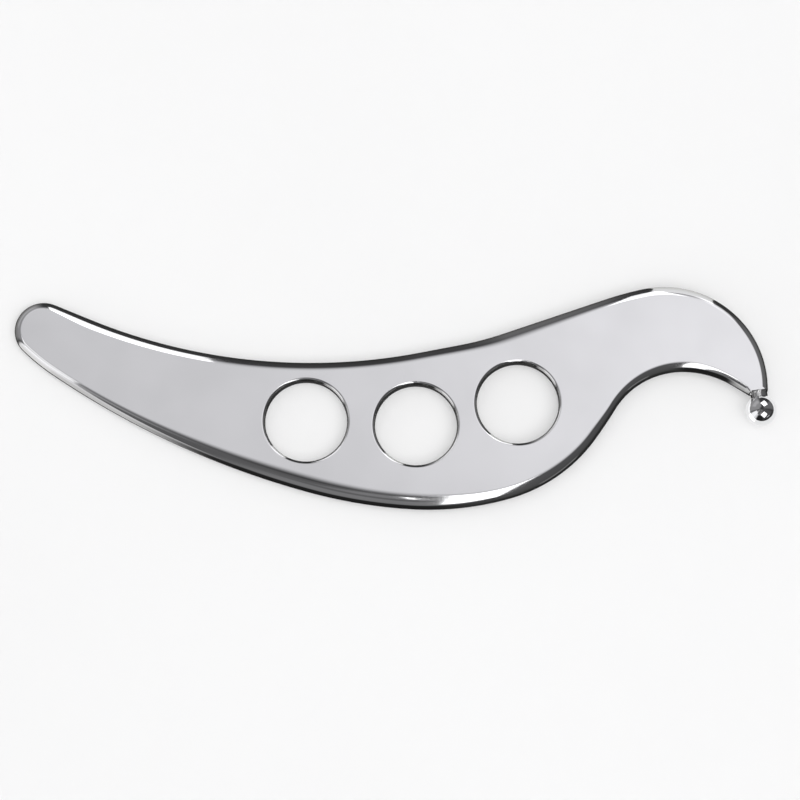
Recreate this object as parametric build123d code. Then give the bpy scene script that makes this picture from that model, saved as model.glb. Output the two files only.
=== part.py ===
from build123d import *
import math
import os

# Steel gua sha scraper: an S-curved plate with three finger holes, a rounded rim all the way round,
# and a small ball on the end of its beak. Millimetres.
# The plate lies flat: +Z is its show face, +X runs to the beak, +Y to its hollow back.
# The origin is the centre of the middle finger hole, halfway through the plate.

PLATE_THICKNESS = 4.0
RIM_ROUNDING = 1.9

FINGER_HOLE_RADIUS = 11.8
FINGER_HOLE_ROUNDING = 1.0
FINGER_HOLE_CENTRES = [(-31.6, 1.1), (0.0, 0.0), (29.3, 6.4)]

# The outline starts at the outer corner of the beak's end and runs anticlockwise, tangent all the way.
# A bend is (radius, turn in degrees), where a left turn is positive; a straight is (length, 0).
BEAK_OUTER_CORNER = (101.5, 9.5)
BEAK_START_HEADING = 91.5
OUTLINE = [
    (2.9, 0),  # outer side of the beak
    (29.5, 101.0),  # crown
    (98.0, 6.5),  # nape
    (31.0, 0),  # shoulder
    (97.5, -8.0),
    (11.5, 0),
    (165.0, -33.5),  # hollow back, over the finger holes
    (12.0, 0),
    (8.3, 158.0),  # tail end
    (62.5, 10.0),  # underside of the tail
    (249.0, 19.0),
    (142.0, 12.0),  # belly, the broad working edge
    (84.0, 19.5),
    (46.0, 38.0),  # breast
    (139.0, 4.5),
    (23.0, -60.5),  # throat
    (27.5, -29.5),  # inside of the hook
    (5.8, 0),  # inner side of the beak
]

BALL_RADIUS = 4.5
BEAK_END_TO_BALL_CENTRE = 4.65
NECK_RADIUS = 2.45
NECK_WAIST = 0.12
PIN_RADIUS = 1.0
PIN_DEPTH_IN_BEAK = 6.0
PIN_DEPTH_IN_BALL = 2.8


def outline_edges():
    """The plate's outline as a closed list of edges; the last one is the flat end of the beak."""
    edges = []
    point = Vector(*BEAK_OUTER_CORNER)
    heading = math.radians(BEAK_START_HEADING)
    for size, turn in OUTLINE:
        direction = Vector(math.cos(heading), math.sin(heading))
        if turn:
            edge = JernArc(start=point, tangent=direction, radius=size, arc_size=turn)
        else:
            edge = Line(point, point + direction * size)
        edges.append(edge)
        point = edge @ 1
        heading += math.radians(turn)
    edges.append(Line(point, edges[0] @ 0))
    return edges


def plate(edges):
    """The flat plate, its rim and its finger holes rounded on both faces; the beak's end stays flat."""
    face = make_face(Curve() + edges)
    solid = extrude(face, amount=PLATE_THICKNESS / 2, both=True)
    end_centre = edges[-1] @ 0.5
    rim = [
        edge
        for side in (Axis.Z, -Axis.Z)
        for edge in solid.faces().sort_by(side)[-1].outer_wire().edges()
        if (Vector(edge.center().X, edge.center().Y) - end_centre).length > 0.5
    ]
    solid = fillet(rim, RIM_ROUNDING)
    for x, y in FINGER_HOLE_CENTRES:
        solid -= Pos(x, y) * finger_hole()
    return solid


def finger_hole():
    """What is cut away for one finger: a round hole whose mouths open out in a quarter round."""
    half = PLATE_THICKNESS / 2
    mouth = FINGER_HOLE_RADIUS + FINGER_HOLE_ROUNDING
    wall_end = half - FINGER_HOLE_ROUNDING
    slant = FINGER_HOLE_ROUNDING * (1 - math.sqrt(0.5))
    upper_bend = (FINGER_HOLE_RADIUS + slant, half - slant)
    profile = [
        Line((0, -half), (mouth, -half)),
        ThreePointArc((mouth, -half), (upper_bend[0], -upper_bend[1]), (FINGER_HOLE_RADIUS, -wall_end)),
        Line((FINGER_HOLE_RADIUS, -wall_end), (FINGER_HOLE_RADIUS, wall_end)),
        ThreePointArc((FINGER_HOLE_RADIUS, wall_end), upper_bend, (mouth, half)),
        Line((mouth, half), (0, half)),
        Line((0, half), (0, -half)),
    ]
    section = Plane.XZ * make_face(Curve() + profile)
    return revolve(section, Axis.Z)


def neck_axes(end):
    """A plane at the middle of the beak's flat end, whose Z runs out of the beak to the ball."""
    along = (end @ 1 - end @ 0).normalized()
    outward = Vector(along.Y, -along.X)
    return Plane(origin=end @ 0.5, x_dir=(0, 0, 1), z_dir=outward)


def tip_pin():
    """The hidden dowel, from inside the beak to inside the ball."""
    length = PIN_DEPTH_IN_BEAK + BEAK_END_TO_BALL_CENTRE - BALL_RADIUS + PIN_DEPTH_IN_BALL
    dowel = Cylinder(PIN_RADIUS, length, align=(Align.CENTER, Align.CENTER, Align.MIN))
    return Pos(0, 0, -PIN_DEPTH_IN_BEAK) * dowel


def neck_weld():
    """The dressed ring of weld metal round the dowel, seated on the beak's end and on the ball."""
    seat_outside = BEAK_END_TO_BALL_CENTRE - math.sqrt(BALL_RADIUS**2 - NECK_RADIUS**2)
    waist = (NECK_RADIUS - NECK_WAIST, seat_outside / 2)
    profile = [
        Line((0, 0), (NECK_RADIUS, 0)),
        ThreePointArc((NECK_RADIUS, 0), waist, (NECK_RADIUS, seat_outside)),
        Line((NECK_RADIUS, seat_outside), (0, seat_outside)),
        Line((0, seat_outside), (0, 0)),
    ]
    section = Plane.XZ * make_face(Curve() + profile)
    return revolve(section, Axis.Z) - ball() - tip_pin()


def ball():
    return Pos(0, 0, BEAK_END_TO_BALL_CENTRE) * Sphere(BALL_RADIUS)


edges = outline_edges()
at_neck = neck_axes(edges[-1]).location
pieces = {
    "blade": plate(edges) - at_neck * tip_pin(),
    "tip_ball": at_neck * (ball() - tip_pin()),
    "neck_weld": at_neck * neck_weld(),
    "tip_pin": at_neck * tip_pin(),
}

os.makedirs("parts", exist_ok=True)
for name, piece in pieces.items():
    export_step(piece, f"parts/{name}.step")
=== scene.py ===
import math

import bmesh
import bpy
import numpy as np
from mathutils import Matrix, Vector


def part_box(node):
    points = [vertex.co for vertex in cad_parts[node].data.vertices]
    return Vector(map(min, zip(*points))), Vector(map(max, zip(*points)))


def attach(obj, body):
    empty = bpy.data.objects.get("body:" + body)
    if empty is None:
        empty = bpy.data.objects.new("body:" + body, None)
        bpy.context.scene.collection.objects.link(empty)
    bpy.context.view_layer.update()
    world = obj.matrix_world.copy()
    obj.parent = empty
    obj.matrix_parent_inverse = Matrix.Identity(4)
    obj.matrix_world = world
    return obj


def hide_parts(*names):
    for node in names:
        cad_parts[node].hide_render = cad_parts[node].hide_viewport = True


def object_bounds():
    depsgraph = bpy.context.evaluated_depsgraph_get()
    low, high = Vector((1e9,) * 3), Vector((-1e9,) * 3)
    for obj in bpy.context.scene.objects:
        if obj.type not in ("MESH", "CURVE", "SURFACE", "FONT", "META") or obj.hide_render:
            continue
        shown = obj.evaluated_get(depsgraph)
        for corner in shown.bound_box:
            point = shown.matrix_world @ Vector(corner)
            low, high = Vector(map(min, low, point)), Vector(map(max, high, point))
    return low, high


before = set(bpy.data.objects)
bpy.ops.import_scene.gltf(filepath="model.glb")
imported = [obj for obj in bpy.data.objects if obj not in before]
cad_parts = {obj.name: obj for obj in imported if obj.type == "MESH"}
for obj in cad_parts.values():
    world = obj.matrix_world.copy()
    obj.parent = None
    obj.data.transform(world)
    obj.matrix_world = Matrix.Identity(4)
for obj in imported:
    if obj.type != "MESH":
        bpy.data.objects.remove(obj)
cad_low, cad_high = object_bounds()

# Steel gua sha scraper: a polished blade with a ball on its beak, on pale paper under soft lamps.
# Lengths in the shape tables are millimetres and become metres in new_mesh(). The studio is in metres.
# The plate lies in the XY plane of the CAD frame: +Z is its show face, +X its beak, +Y its hollow back.
MM = 0.001

# ---- the blade ------------------------------------------------------------------------------------

HALF_THICKNESS = 2.0
BEAK_OUTER_CORNER = (101.5, 9.5)
BEAK_START_HEADING = 91.5

# The same outline as the CAD plate: (radius, turn in degrees) for a bend, (length, 0) for a straight.
# The third number is how wide the rounded rim is, measured in the plate's plane, where the stretch ends.
OUTLINE = [
    (2.9, 0, 1.9),  # outer side of the beak
    (29.5, 101.0, 2.9),  # crown
    (98.0, 6.5, 2.8),  # nape
    (31.0, 0, 3.6),  # shoulder
    (97.5, -8.0, 3.1),  # from the shoulder into the hollow back
    (11.5, 0, 2.9),  # upper end of the hollow back
    (165.0, -16.5, 2.9),  # hollow back, over the finger holes
    (165.0, -17.0, 3.1),  # hollow back, over the tail
    (12.0, 0, 2.3),  # upper side of the tail
    (8.3, 158.0, 2.2),  # tail end
    (62.5, 10.0, 2.3),  # underside of the tail
    (249.0, 19.0, 4.8),  # from the tail to the belly
    (142.0, 12.0, 4.4),  # belly, the broad working edge
    (84.0, 19.5, 3.4),  # from the belly to the breast
    (46.0, 38.0, 2.8),  # breast
    (139.0, 4.5, 2.3),  # from the breast to the throat
    (23.0, -60.5, 2.9),  # throat
    (27.5, -29.5, 2.2),  # inside of the hook
    (5.8, 0, 1.6),  # inner side of the beak
]
BEAK_END_RIM = 1.2
BEAK_INNER_CORNER_RADIUS = 1.5
BEAK_OUTER_CORNER_RADIUS = 1.3

SAMPLE_SPACING = 0.6
CORNER_SAMPLES = 7
CORNER_MARGIN = 1.1  # how far a corner reaches along the straight beside it, in corner radii
RIM_ROWS = 18

FINGER_HOLES = [(-31.6, 1.1), (0.0, 0.0), (29.3, 6.4)]
HOLE_RADIUS = 11.8
HOLE_ROUNDING = 1.0
HOLE_COLUMNS = 144
HOLE_ROWS = 10


def unit(heading):
    return np.array([math.cos(heading), math.sin(heading)])


def left_of(heading):
    return np.array([-math.sin(heading), math.cos(heading)])


def right_of(headings):
    """One direction for each heading, a quarter turn to its right: out of the blade."""
    return np.stack([np.sin(headings), -np.cos(headings)], axis=1)


def smooth(t):
    """An even ease from 0 to 1."""
    return t * t * (3 - 2 * t)


def stretch_points(start, heading, size, turn):
    """Points and headings along one stretch of the outline, without its first point."""
    if not turn:
        count = max(1, round(size / SAMPLE_SPACING))
        steps = np.arange(1, count + 1) / count
        points = start + np.outer(steps * size, unit(heading))
        return points, np.full(count, heading)
    sweep = math.radians(turn)
    count = max(2, round(abs(size * sweep) / SAMPLE_SPACING))
    headings = heading + sweep * np.arange(1, count + 1) / count
    radius = math.copysign(size, turn)
    points = start + radius * left_of(heading) + radius * right_of(headings)
    return points, headings


def outline_samples():
    """Points, headings and rim widths all the way round the blade, anticlockwise."""
    points = [np.array(BEAK_OUTER_CORNER)]
    headings = [math.radians(BEAK_START_HEADING)]
    widths = [OUTLINE[0][2]]
    for size, turn, width in OUTLINE:
        more, turned = stretch_points(points[-1], headings[-1], size, turn)
        steps = np.arange(1, len(more) + 1) / len(more)
        widths.extend(widths[-1] + (width - widths[-1]) * smooth(steps))
        points.extend(more)
        headings.extend(turned)
    end = points[0] - points[-1]
    end_heading = math.atan2(end[1], end[0]) + 2 * math.pi
    inner = corner(points[-1], headings[-1], end_heading, BEAK_INNER_CORNER_RADIUS)
    outer = corner(points[0], end_heading, headings[0] + 2 * math.pi, BEAK_OUTER_CORNER_RADIUS)
    keep = slice(trimmed(BEAK_OUTER_CORNER_RADIUS), -trimmed(BEAK_INNER_CORNER_RADIUS))
    end_widths = np.full(2 * CORNER_SAMPLES, BEAK_END_RIM)
    return (
        np.concatenate([points[keep], inner[0], outer[0]]),
        np.concatenate([headings[keep], inner[1], outer[1]]),
        np.concatenate([widths[keep], end_widths]),
    )


def trimmed(radius):
    """How many samples a rounded corner takes off the straight beside it."""
    return math.ceil(radius * CORNER_MARGIN / SAMPLE_SPACING)


def corner(point, before, after, radius):
    """A rounded corner between two headings: its points and headings."""
    turn = after - before
    start = point - unit(before) * radius * math.tan(turn / 2)
    headings = before + turn * np.linspace(0, 1, CORNER_SAMPLES)
    points = start + radius * left_of(before) + radius * right_of(headings)
    return points, headings


def rim_rings(points, headings, widths):
    """Rings of vertices over the rim, from the show face's edge round to the back face's edge."""
    outward = right_of(headings)
    rings = []
    for angle in np.linspace(0, math.pi, 2 * RIM_ROWS + 1):
        inset = widths * (1 - math.sin(angle))
        height = np.full(len(points), HALF_THICKNESS * math.cos(angle))
        rings.append(np.column_stack([points - outward * inset[:, None], height]))
    return rings


def hole_rings(centre):
    """Rings of vertices over one finger hole's wall, from the show face to the back face."""
    turns = np.linspace(0, 2 * math.pi, HOLE_COLUMNS, endpoint=False)
    round_wall = np.stack([np.cos(turns), np.sin(turns)], axis=1)
    rings = []
    wall_end = HALF_THICKNESS - HOLE_ROUNDING
    quarter = np.linspace(0, math.pi / 2, HOLE_ROWS)
    upper = [
        (HOLE_RADIUS + HOLE_ROUNDING * (1 - math.sin(a)), wall_end + HOLE_ROUNDING * math.cos(a))
        for a in quarter
    ]
    for radius, height in upper + [(radius, -height) for radius, height in reversed(upper)]:
        rings.append(np.column_stack([centre + round_wall * radius, np.full(HOLE_COLUMNS, height)]))
    return rings


def add_band(bm, rings, inward):
    """Quads between closed rings of points; returns the first and the last ring of BMesh vertices."""
    rows = [[bm.verts.new(p) for p in ring] for ring in rings]
    for upper, lower in zip(rows, rows[1:]):
        for i in range(len(upper)):
            j = (i + 1) % len(upper)
            quad = (upper[i], lower[i], lower[j], upper[j])
            bm.faces.new(quad[::-1] if inward else quad).smooth = True
    return rows[0], rows[-1]


def loop_edges(bm, ring):
    """The edges round a closed ring of vertices."""
    return [bm.edges.get((ring[i - 1], ring[i])) for i in range(len(ring))]


def blade_mesh():
    """The blade: its rim, the walls of its finger holes, and a flat face on each side between them."""
    bm = bmesh.new()
    rims = [add_band(bm, rim_rings(*outline_samples()), inward=False)]
    for centre in FINGER_HOLES:
        rims.append(add_band(bm, hole_rings(np.array(centre)), inward=True))
    for side in (0, 1):
        edges = [edge for rim in rims for edge in loop_edges(bm, rim[side])]
        made = bmesh.ops.triangle_fill(bm, edges=edges, use_beauty=True, normal=(0, 0, 1 - 2 * side))
        for face in made["geom"]:
            if isinstance(face, bmesh.types.BMFace):
                face.smooth = False
    bmesh.ops.recalc_face_normals(bm, faces=bm.faces)
    return new_mesh("blade", bm)


def new_mesh(name, bm, unit_length=MM):
    """Turns a BMesh, in millimetres unless told otherwise, into an object in metres."""
    bmesh.ops.scale(bm, vec=(unit_length,) * 3, verts=bm.verts)
    mesh = bpy.data.meshes.new(name)
    bm.to_mesh(mesh)
    bm.free()
    piece = bpy.data.objects.new(name, mesh)
    bpy.context.scene.collection.objects.link(piece)
    return piece


# ---- ball and neck --------------------------------------------------------------------------------

BALL_RADIUS = 4.5
BALL_CUTS = 31
BEAK_END_TO_BALL_CENTRE = 4.65

# The weld's (radius, distance out of the beak's end): a slight waist, sunk a little into beak and ball.
NECK_COLUMNS = 64
NECK_PROFILE = [
    (1.9, -1.3),
    (2.18, -1.15),
    (2.36, -0.8),
    (2.45, -0.3),
    (2.45, 0.2),
    (2.40, 0.6),
    (2.44, 0.95),
    (2.2, 1.3),
]


def neck_frame():
    """A matrix in millimetres: its origin is the middle of the beak's end, and its Z runs to the ball."""
    outer_corner = np.array(BEAK_OUTER_CORNER)
    point = outer_corner
    heading = math.radians(BEAK_START_HEADING)
    for size, turn, _ in OUTLINE:
        points, headings = stretch_points(point, heading, size, turn)
        point = points[-1]
        heading = headings[-1]
    along = Vector((*(outer_corner - point), 0)).normalized()
    outward = Vector((along.y, -along.x, 0))
    middle = Vector((*(outer_corner + point) / 2, 0))
    axes = Matrix((along, outward.cross(along), outward)).transposed()
    return Matrix.Translation(middle) @ axes.to_4x4()


def turned_rings(profile, columns):
    """Rings of points round Z, one for each (radius, height) of the profile."""
    turns = np.linspace(0, 2 * math.pi, columns, endpoint=False)
    return [[(r * math.cos(a), r * math.sin(a), h) for a in turns] for r, h in profile]


def lathe(name, profile, columns, at):
    """A closed solid of revolution from (radius, height) pairs, placed by the matrix at."""
    bm = bmesh.new()
    first, last = add_band(bm, turned_rings(profile, columns), inward=True)
    bm.faces.new(first[::-1])
    bm.faces.new(last)
    bmesh.ops.transform(bm, matrix=at, verts=bm.verts)
    bmesh.ops.recalc_face_normals(bm, faces=bm.faces)
    return new_mesh(name, bm)


def ball_mesh(at):
    """The ball, as a finely divided cube blown up to a sphere, so that it has no poles."""
    bm = bmesh.new()
    bmesh.ops.create_cube(bm, size=2 * BALL_RADIUS)
    bmesh.ops.subdivide_edges(bm, edges=bm.edges, cuts=BALL_CUTS, use_grid_fill=True)
    for vert in bm.verts:
        vert.co = vert.co.normalized() * BALL_RADIUS
    for face in bm.faces:
        face.smooth = True
    centre = at @ Matrix.Translation((0, 0, BEAK_END_TO_BALL_CENTRE))
    bmesh.ops.transform(bm, matrix=centre, verts=bm.verts)
    return new_mesh("tip_ball", bm)


# ---- materials ------------------------------------------------------------------------------------

# (colour of the faces, colour of the rim darkened as painted shade for the dark surroundings it mirrors,
# roughness, depth of the polishing marks in metres)
MIRROR_STEEL = ((0.80, 0.80, 0.815), (0.62, 0.62, 0.61), 0.07, 0.00002)
WELD_STEEL = ((0.68, 0.68, 0.68), (0.5, 0.5, 0.5), 0.16, 0.00004)
BALL_STEEL = ((0.82, 0.82, 0.83), (0.82, 0.82, 0.83), 0.05, 0.00001)
PIN_STEEL = ((0.6, 0.6, 0.61), (0.6, 0.6, 0.61), 0.3, 0.00002)

# The Z of the surface's normal where the rim's painted shade starts and where it is full.
RIM_PAINTED_SHADE_STARTS = 0.995
RIM_PAINTED_SHADE_FULL = 0.7

# Noise, with its features per metre along an axis that isn't stretched.
SMEARS = {"scale": 45.0, "detail": 3.0}
LINES = {"scale": 900.0, "detail": 2.0, "stretch": (1.0, 0.02, 0.02)}
HAIRS = {"scale": 350.0, "detail": 4.0, "stretch": (0.06, 1.0, 1.0)}
NOISE_RANGE = (0.3, 0.7)
SMEAR_TONES = (0.97, 1.03)
ROUGHNESS_RANGE = (0.25, 0.75)
ROUGHNESS_SPREAD = (0.75, 1.3)
LINE_SHARE = 0.7
HAIR_SHARE = 0.3
MARK_STRENGTH = 0.12

PAPER_COLOUR = (0.86, 0.86, 0.86)
PAPER_ROUGHNESS = 0.9
PAPER_MOTTLE = {"scale": 6.0, "detail": 3.0}
PAPER_TONES = (0.985, 1.0)


class Nodes:
    """Short calls for building a node tree."""

    def __init__(self, tree):
        self.tree = tree
        tree.nodes.clear()

    def add(self, kind, inputs=None, **settings):
        node = self.tree.nodes.new(kind)
        for name, value in settings.items():
            setattr(node, name, value)
        for name, value in (inputs or {}).items():
            if isinstance(value, bpy.types.NodeSocket):
                self.tree.links.new(value, node.inputs[name])
            else:
                node.inputs[name].default_value = value
        return node

    def math(self, operation, a, b=0.0):
        return self.add("ShaderNodeMath", {0: a, 1: b}, operation=operation).outputs[0]

    def ramp(self, value, low, high, at_low=0.0, at_high=1.0):
        """A smooth step of value from at_low to at_high between low and high."""
        inputs = {"Value": value, 1: low, 2: high, 3: at_low, 4: at_high}
        node = self.add("ShaderNodeMapRange", inputs, interpolation_type="SMOOTHSTEP")
        return node.outputs["Result"]

    def noise(self, where, scale, detail=2.0, stretch=(1, 1, 1)):
        scaled = self.add("ShaderNodeVectorMath", {0: where, 1: stretch}, operation="MULTIPLY")
        inputs = {"Vector": scaled.outputs[0], "Scale": scale, "Detail": detail}
        return self.add("ShaderNodeTexNoise", inputs).outputs["Fac"]

    def mix(self, factor, a, b):
        """Colour a where the factor is 0, and colour b where it is 1."""
        node = self.add("ShaderNodeMix", {0: factor, 6: a, 7: b}, data_type="RGBA")
        return node.outputs[2]

    def scaled(self, colour, factor):
        inputs = {0: colour, "Scale": factor}
        return self.add("ShaderNodeVectorMath", inputs, operation="SCALE").outputs[0]


def polished_steel(name, face_colour, rim_painted_shade_colour, roughness, mark_depth):
    """Polished steel with fine polishing lines both ways, faint smears, and painted shade on the rim: a
    darker colour that stands in for the dark studio the rim mirrors.
    """
    material = bpy.data.materials.new(name)
    material.use_nodes = True
    n = Nodes(material.node_tree)
    where = n.add("ShaderNodeTexCoord").outputs["Object"]
    normal = n.add("ShaderNodeNewGeometry").outputs["Normal"]
    up = n.math("ABSOLUTE", n.add("ShaderNodeSeparateXYZ", {0: normal}).outputs["Z"])
    # Painted shade: where the surface turns away from the faces, the colour darkens towards the rim's
    # darker colour, standing in for the dark surroundings the rim mirrors.
    rim = n.ramp(up, RIM_PAINTED_SHADE_STARTS, RIM_PAINTED_SHADE_FULL)
    smears = n.noise(where, **SMEARS)
    lines = n.math("MULTIPLY", n.noise(where, **LINES), LINE_SHARE)
    hairs = n.math("MULTIPLY", n.noise(where, **HAIRS), HAIR_SHARE)
    colour = n.mix(rim, (*face_colour, 1), (*rim_painted_shade_colour, 1))
    tinted = n.scaled(colour, n.ramp(smears, *NOISE_RANGE, *SMEAR_TONES))
    smoother, rougher = (roughness * spread for spread in ROUGHNESS_SPREAD)
    rough = n.ramp(smears, *ROUGHNESS_RANGE, smoother, rougher)
    marks = {"Height": n.math("ADD", lines, hairs), "Strength": MARK_STRENGTH, "Distance": mark_depth}
    bump = n.add("ShaderNodeBump", marks).outputs[0]
    surface = {"Base Color": tinted, "Metallic": 1.0, "Roughness": rough, "Normal": bump}
    shader = n.add("ShaderNodeBsdfPrincipled", surface)
    n.add("ShaderNodeOutputMaterial", {"Surface": shader.outputs[0]})
    return material


# ---- floor ----------------------------------------------------------------------------------------

FIRST_TILT_STEP = 0.05
LAST_TILT_STEP = 1e-6


def resting_plane(points, centre):
    """(p, q, c) of the plane z = c - p x - q y on which the points rest, with their mass at centre.

    Of all the planes that the points can lie on, it is the one that the centre is nearest to.
    """

    def height(p, q):
        return centre[2] + p * centre[0] + q * centre[1] - (points @ np.array([p, q, 1.0])).min()

    best = (0.0, 0.0)
    step = FIRST_TILT_STEP
    while step > LAST_TILT_STEP:
        near = [(best[0] + i * step, best[1] + j * step) for i in (-1, 0, 1) for j in (-1, 0, 1)]
        found = min(near, key=lambda tilt: height(*tilt))
        if found == best:
            step /= 2
        best = found
    p, q = best
    return p, q, (points @ np.array([p, q, 1.0])).min()


def cad_points():
    """Every vertex of the CAD solids."""
    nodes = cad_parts.values()
    return np.array([v.co for node in nodes for v in node.data.vertices])


FLOOR_INNER_RADIUS = 0.3
FLOOR_FLAT_RADIUS = 1.8
FLOOR_BEND_RADIUS = 1.6
FLOOR_WALL_TOP = 4.0
FLOOR_COLUMNS = 96
FLOOR_FLAT_ROWS = 4
FLOOR_BEND_ROWS = 16


def floor_mesh():
    """A round studio sweep: flat under the object, curving up into a wall all round."""
    bm = bmesh.new()
    flat_radii = np.linspace(FLOOR_INNER_RADIUS, FLOOR_FLAT_RADIUS, FLOOR_FLAT_ROWS)
    profile = [(radius, 0.0) for radius in flat_radii]
    for angle in np.linspace(0, math.pi / 2, FLOOR_BEND_ROWS)[1:]:
        reach = FLOOR_BEND_RADIUS * math.sin(angle)
        rise = FLOOR_BEND_RADIUS * (1 - math.cos(angle))
        profile.append((FLOOR_FLAT_RADIUS + reach, rise))
    profile.append((FLOOR_FLAT_RADIUS + FLOOR_BEND_RADIUS, FLOOR_WALL_TOP))
    first, _ = add_band(bm, turned_rings(profile, FLOOR_COLUMNS), inward=True)
    bm.faces.new(first)
    return new_mesh("floor", bm, unit_length=1.0)


def floor_material():
    """Matt white paper with a barely uneven tone."""
    material = bpy.data.materials.new("floor_paper")
    material.use_nodes = True
    n = Nodes(material.node_tree)
    where = n.add("ShaderNodeTexCoord").outputs["Object"]
    tone = n.ramp(n.noise(where, **PAPER_MOTTLE), *NOISE_RANGE, *PAPER_TONES)
    surface = {"Base Color": n.scaled(PAPER_COLOUR, tone), "Roughness": PAPER_ROUGHNESS}
    shader = n.add("ShaderNodeBsdfPrincipled", surface)
    n.add("ShaderNodeOutputMaterial", {"Surface": shader.outputs[0]})
    return material


def lay_floor():
    """The floor, tilted and placed so that the tool rests on its ball and its blade.

    The tool doesn't mirror it, and it keeps no light from the tool.
    """
    blade_low, blade_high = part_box("blade")
    # The blade is nearly all of the mass, so the middle of its box serves as the centre of mass.
    p, q, c = resting_plane(cad_points(), (blade_low + blade_high) / 2)
    floor = floor_mesh()
    floor.data.materials.append(floor_material())
    up = Vector((p, q, 1)).normalized()
    floor.rotation_mode = "QUATERNION"
    floor.rotation_quaternion = Vector((0, 0, 1)).rotation_difference(up)
    floor.location = (0, 0, c)
    floor.visible_glossy = False
    floor.visible_shadow = False
    return floor


# ---- camera ---------------------------------------------------------------------------------------

CAMERA_ELEVATION = 77.5
CAMERA_DISTANCE = 1.1
PIXELS_PER_MM = 3.47
AIM_OFFSET = (1.44 * MM, -0.65 * MM, 0.0)  # from the centre of the CAD box to what the camera aims at
SENSOR_WIDTH = 36.0
IMAGE_WIDTH = 800
CLIP_END = 20.0


def aim_camera():
    """A long lens over the show face, leaning a little towards the belly's side."""
    elevation = math.radians(CAMERA_ELEVATION)
    back = Vector((0, -math.cos(elevation), math.sin(elevation)))
    middle = (cad_low + cad_high) / 2
    target = middle + Vector(AIM_OFFSET)
    camera = bpy.data.objects.new("camera", bpy.data.cameras.new("camera"))
    bpy.context.scene.collection.objects.link(camera)
    camera.location = target + back * CAMERA_DISTANCE
    camera.rotation_mode = "QUATERNION"
    camera.rotation_quaternion = (-back).to_track_quat("-Z", "Y")
    camera.data.sensor_width = SENSOR_WIDTH
    camera.data.lens = PIXELS_PER_MM / MM * SENSOR_WIDTH * CAMERA_DISTANCE / IMAGE_WIDTH
    camera.data.clip_end = CLIP_END
    bpy.context.scene.camera = camera


# ---- the studio that the steel mirrors ------------------------------------------------------------

FULL_TURN = 360.0
HALF_TURN = 180.0
BASE_RADIANCE = 0.05
STUDIO_TINT = (0.99, 0.985, 1.0, 1)

# Soft-edged patches laid one over another, with their angles in degrees:
# (azimuth from +X towards +Y, half width, tilt from +Z, half width, softness of the edge, radiance).
STUDIO_PATCHES = [
    (145, 42, 66, 50, 8, 0.30),  # grey wall beyond the tail's upper side
    (135, 24, 64, 14, 7, 0.45),  # a lighter band on it
    (195, 25, 16, 5, 4, 0.16),  # dim ceiling over the tail
    (218, 15, 33, 14, 5, 0.33),  # a lighter part of it, lower down
    (211, 16, 83, 43, 5, 1.12),  # white wall beyond the tail's underside
    (232, 8, 90, 40, 4, 0.84),  # the shaded end of that wall
    (233, 11, 24, 24, 4, 0.11),  # dark gap over that end
    (262, 22, 28, 23, 5, 0.22),  # grey card in front of the belly
    (256, 21, 21, 4, 3, 0.13),  # a darker band on it
    (256, 20, 92, 38, 6, 0.020),  # black card under it
    (318, 34, 45, 38, 8, 0.09),  # dark wall in front of the hook
    (318, 34, 110, 30, 8, 0.035),  # the black foot of that wall
    (315, 10, 75, 3, 1.5, 0.55),  # a narrow pale strip on it
    (27, 22, 60, 45, 8, 0.16),  # dark wall beyond the beak
    (62, 8, 40, 14, 4, 0.80),  # a pale panel beside it
]


def patch_mask(n, azimuth, tilt, patch):
    """1 inside a patch and 0 outside it, with a soft edge."""
    turn, turn_half, lean, lean_half, soft, _ = patch
    past = n.math("ADD", azimuth, HALF_TURN + FULL_TURN - turn)
    around = n.math("SUBTRACT", n.math("FLOORED_MODULO", past, FULL_TURN), HALF_TURN)
    down = n.math("SUBTRACT", tilt, float(lean))
    across = n.ramp(n.math("ABSOLUTE", around), turn_half + soft, turn_half - soft)
    along = n.ramp(n.math("ABSOLUTE", down), lean_half + soft, lean_half - soft)
    return n.math("MULTIPLY", across, along)


def studio_world():
    """The world's background, as radiance by direction."""
    world = bpy.data.worlds.new("studio")
    world.use_nodes = True
    bpy.context.scene.world = world
    n = Nodes(world.node_tree)
    toward = n.add("ShaderNodeSeparateXYZ", {0: n.add("ShaderNodeTexCoord").outputs["Generated"]})
    x, y, z = (toward.outputs[axis] for axis in "XYZ")
    azimuth = n.math("MULTIPLY", n.math("ARCTAN2", y, x), HALF_TURN / math.pi)
    tilt = n.math("MULTIPLY", n.math("ARCCOSINE", z), HALF_TURN / math.pi)
    radiance = BASE_RADIANCE
    for patch in STUDIO_PATCHES:
        inputs = {0: patch_mask(n, azimuth, tilt, patch), 2: radiance, 3: patch[-1]}
        radiance = n.add("ShaderNodeMix", inputs, data_type="FLOAT").outputs[0]
    background = n.add("ShaderNodeBackground", {"Color": STUDIO_TINT, "Strength": radiance})
    n.add("ShaderNodeOutputWorld", {"Surface": background.outputs[0]})


# ---- lamps ----------------------------------------------------------------------------------------

# (name, range of x, near edge as (y, z), far edge as (y, z), radiance, turn in degrees)
BLADE_LAMPS = [
    # highlights on the belly and inside the hook
    ("front_box", (0.02, 0.112), (-0.276, 0.290), (0.030, 0.729), 1.7, 0),
    # pale outer band over the crown
    ("crown_box", (0.064, 0.195), (0.260, -0.260), (0.260, 0.270), 0.85, 0),
    # inner highlight from the nape to the crown
    ("nape_box", (0.051, 0.088), (0.0895, 0.150), (0.2195, 0.150), 1.1, 6),
    # long highlight on the upper side of the tail
    ("tail_box", (-0.1055, -0.0555), (0.058, 0.100), (0.170, 0.100), 1.3, -6),
    # pale line round the lower side of the tail's end
    ("tail_end_box", (-0.179, -0.134), (-0.037, 0.100), (0.038, 0.100), 0.75, -38),
    # small gleam on the belly, left of the long highlight
    ("spark_box", (-0.015, -0.009), (-0.140, 0.500), (-0.070, 0.500), 2.6, 0),
]
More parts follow.
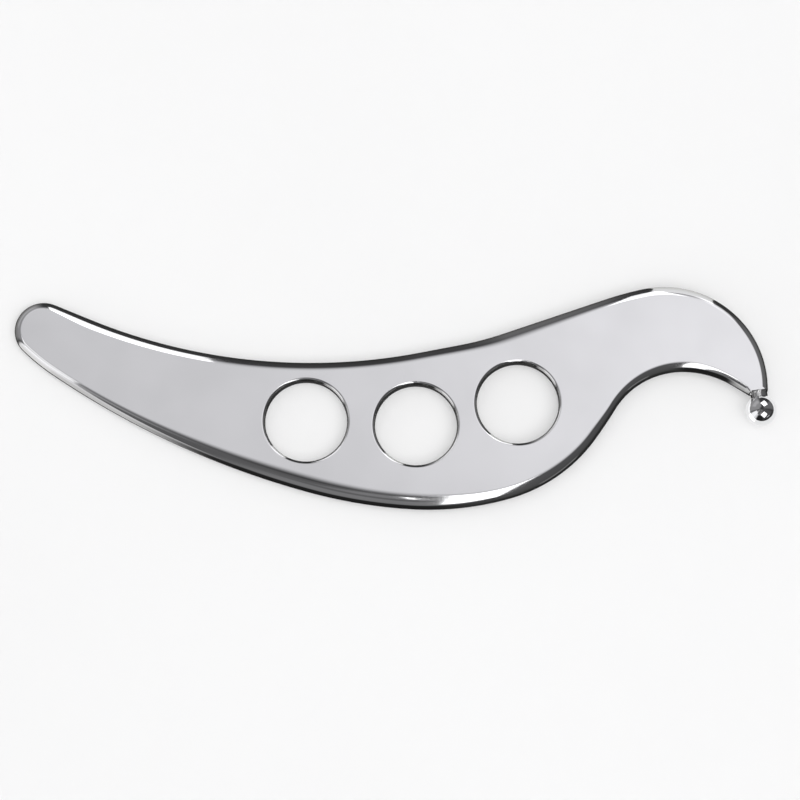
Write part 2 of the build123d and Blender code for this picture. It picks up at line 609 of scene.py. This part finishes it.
BALL_LAMPS = [
    # the two diamonds
    ("ball_back_box", (0.095, 0.250), (0.215, 0.115), (0.105, 0.225), 1.7, 45),
    ("ball_front_box", (0.095, 0.250), (-0.215, 0.115), (-0.105, 0.225), 1.7, 45),
    # the pale ring round the ball's edge
    ("ball_table", (-0.9, 1.1), (-1.0, -0.15), (1.0, -0.15), 0.92, 0),
]
FLOOR_LAMPS = [
    ("floor_key", (-1.5, 0.5), (-0.4, 1.8), (1.6, 1.8), 1.98, 0),
    ("floor_fill", (-0.3, 1.7), (-1.7, 1.8), (0.3, 1.8), 1.75, 0),
]


def softbox(name, across, near, far, radiance, turn, receivers):
    """A rectangular light that the camera doesn't see, from the edge near to the edge far, both (y, z).

    Across is its range of x. Radiance is what a mirror shows of it. It shines towards the origin.
    Turn, in degrees, then turns it about its centre in its own plane, anticlockwise seen from behind.
    Only the receivers are lit by it.
    """
    low, high = (Vector((sum(across) / 2, *edge)) for edge in (near, far))
    long_way = (high - low).normalized()
    away = long_way.cross(Vector((1, 0, 0)))
    if away.dot(low) < 0:
        long_way, away = -long_way, -away
    size = (across[1] - across[0], (high - low).length)
    light = bpy.data.lights.new(name, "AREA")
    light.shape = "RECTANGLE"
    light.size, light.size_y = size
    light.energy = radiance * math.pi * size[0] * size[1]
    holder = bpy.data.objects.new(name, light)
    bpy.context.scene.collection.objects.link(holder)
    holder.location = (low + high) / 2
    holder.rotation_mode = "QUATERNION"
    axes = Matrix((long_way.cross(away), long_way, away)).transposed()
    in_plane = Matrix.Rotation(math.radians(turn), 3, "Z")
    holder.rotation_quaternion = (axes @ in_plane).to_quaternion()
    holder.visible_camera = False
    holder.light_linking.receiver_collection = receivers
    return holder


OVERHEAD_HEIGHT = 0.8
OVERHEAD_ACROSS = (-0.55, 0.55)
OVERHEAD_DEEP = (-0.10, 0.85)
OVERHEAD_TINT = (0.985, 0.98, 1.0, 1)
OVERHEAD_GRADIENT = (-0.2, 0.2)  # from this x to this x,
OVERHEAD_RADIANCE = (0.54, 0.98)  # it rises from this to this
# (axis, where the panel has faded out, where it is at its full radiance)
OVERHEAD_FADES = [
    ("Y", -0.08, 0.17),
    ("Y", 0.85, 0.20),
    ("X", -0.55, -0.20),
    ("X", 0.55, 0.20),
]


def overhead_box(receivers):
    """The large panel that the flat face mirrors: brighter to the right, fading out all round."""
    edges = [(y, OVERHEAD_HEIGHT) for y in OVERHEAD_DEEP]
    holder = softbox("overhead_box", OVERHEAD_ACROSS, *edges, 1.0, 0, receivers)
    holder.data.use_nodes = True
    n = Nodes(holder.data.node_tree)
    where = n.add("ShaderNodeSeparateXYZ", {0: n.add("ShaderNodeNewGeometry").outputs["Position"]})
    limits = (*OVERHEAD_GRADIENT, *OVERHEAD_RADIANCE)
    inputs = {"Value": where.outputs["X"]} | dict(enumerate(limits, start=1))
    level = n.add("ShaderNodeMapRange", inputs).outputs[0]
    for axis, dark, full in OVERHEAD_FADES:
        level = n.math("MULTIPLY", level, n.ramp(where.outputs[axis], dark, full))
    shader = n.add("ShaderNodeEmission", {"Color": OVERHEAD_TINT, "Strength": level})
    n.add("ShaderNodeOutputLight", {"Surface": shader.outputs[0]})


def collection_of(name, pieces):
    """A collection outside the scene, for light linking."""
    group = bpy.data.collections.new(name)
    for piece in pieces:
        group.objects.link(piece)
    return group


# ---- the scene ------------------------------------------------------------------------------------

aim_camera()
studio_world()
floor = lay_floor()

blade = blade_mesh()
blade.data.materials.append(polished_steel("mirror_steel", *MIRROR_STEEL))
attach(blade, "root")
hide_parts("blade")

neck_at = neck_frame()
neck = lathe("neck_weld", NECK_PROFILE, NECK_COLUMNS, neck_at)
for face in neck.data.polygons:
    face.use_smooth = True
neck.data.materials.append(polished_steel("weld_steel", *WELD_STEEL))
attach(neck, "root")
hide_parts("neck_weld")

ball = ball_mesh(neck_at)
ball.data.materials.append(polished_steel("ball_steel", *BALL_STEEL))
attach(ball, "root")
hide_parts("tip_ball")

# The hidden pin keeps its CAD solid.
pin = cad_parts["tip_pin"]
pin.data.materials.clear()
pin.data.materials.append(polished_steel("pin_steel", *PIN_STEEL))

scraper_only = collection_of("scraper_only", [blade, neck])
ball_only = collection_of("ball_only", [ball])
floor_only = collection_of("floor_only", [floor])

overhead_box(scraper_only)
for lamp in BLADE_LAMPS:
    softbox(*lamp, scraper_only)
for lamp in BALL_LAMPS:
    softbox(*lamp, ball_only)
floor_key, floor_fill = (softbox(*lamp, floor_only) for lamp in FLOOR_LAMPS)
floor_key.visible_glossy = False
floor_fill.visible_glossy = False
# Only the fill lamp makes the tool throw a shadow, so the shadow stays faint.
floor_key.light_linking.blocker_collection = floor_only

bpy.context.scene.view_settings.view_transform = "Standard"
bpy.context.scene.view_settings.look = "None"
